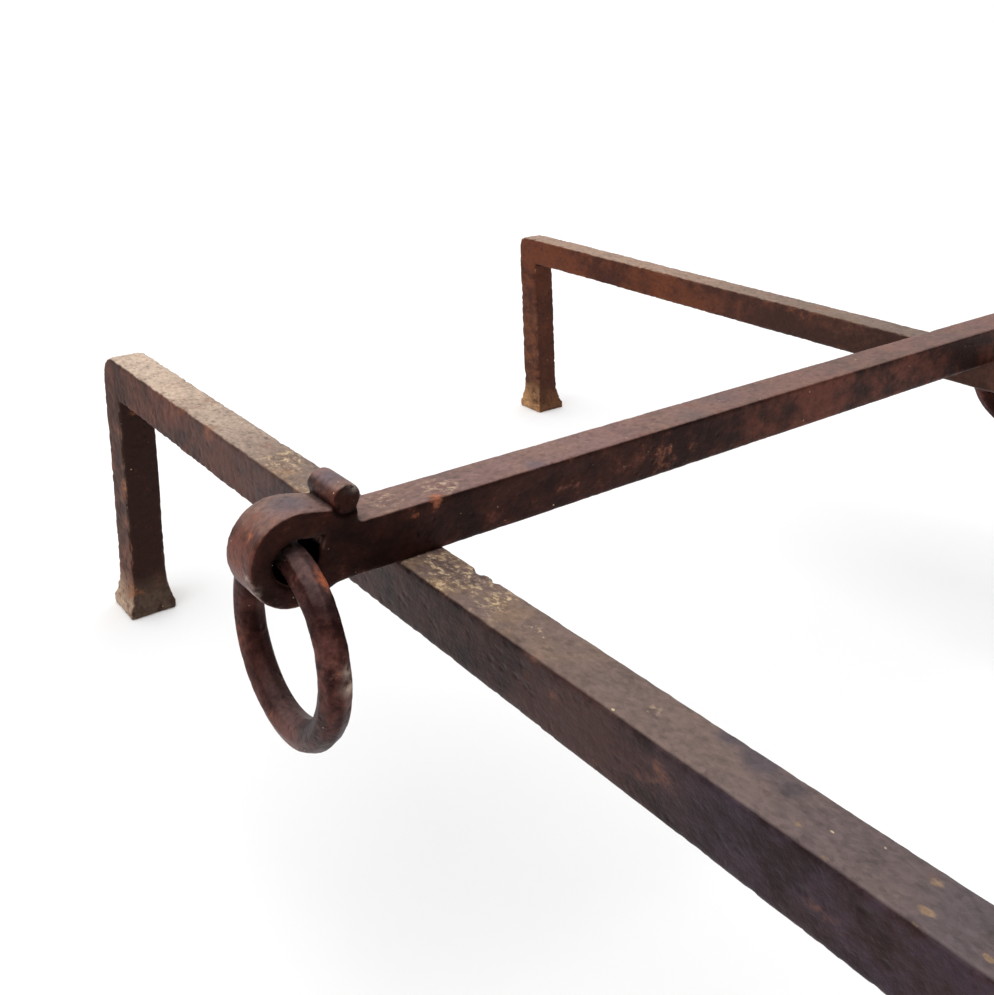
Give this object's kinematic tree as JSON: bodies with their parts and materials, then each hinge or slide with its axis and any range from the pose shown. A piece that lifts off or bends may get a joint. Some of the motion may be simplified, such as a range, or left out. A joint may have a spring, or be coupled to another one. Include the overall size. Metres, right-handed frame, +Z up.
{
  "type": "pair of andirons",
  "caption": "Wrought iron fire dogs: low log bars on flared feet with a loose crossbar resting over them and a ring hanging from an eye at each end of it.",
  "frame": {"origin": "middle of the whole set's outline, on the hearth under it", "axes": "+X to the right along the crossbar, +Y to the back of the hearth along the log bars, +Z up"},
  "size_m": [0.6534, 0.8526, 0.2121],
  "materials": {
    "andiron_iron": "forged, pitted and rusted, top faces worn pale",
    "crossbar_iron": "forged, pitted and rusted, dark brown",
    "ring_iron": "forged, dark red-brown with rubbed spots"
  },
  "bodies": {
    "left_andiron": {"left_andiron": "andiron_iron"},
    "right_andiron": {"right_andiron": "andiron_iron"},
    "crossbar": {"crossbar": "crossbar_iron"},
    "left_ring": {"left_ring": "ring_iron"},
    "right_ring": {"right_ring": "ring_iron"}
  },
  "joints": [
    {"name": "right_andiron_slide", "type": "slide", "parent": "left_andiron", "child": "right_andiron", "axis": [1, 0, 0], "range_m": [-0.25, 0]},
    {"name": "crossbar_slide", "type": "slide", "parent": "left_andiron", "child": "crossbar", "axis": [0, 1, 0], "range_m": [-0.13, 0.27]},
    {"name": "left_ring_swing", "type": "hinge", "parent": "crossbar", "child": "left_ring", "pos_m": [-0.27386, -0.0725, 0.1861], "axis": [0, 1, 0], "range_deg": [-41, 257]},
    {"name": "right_ring_swing", "type": "hinge", "parent": "crossbar", "child": "right_ring", "pos_m": [0.26644, -0.0725, 0.1861], "axis": [0, -1, 0], "range_deg": [-35, 257]}
  ]
}
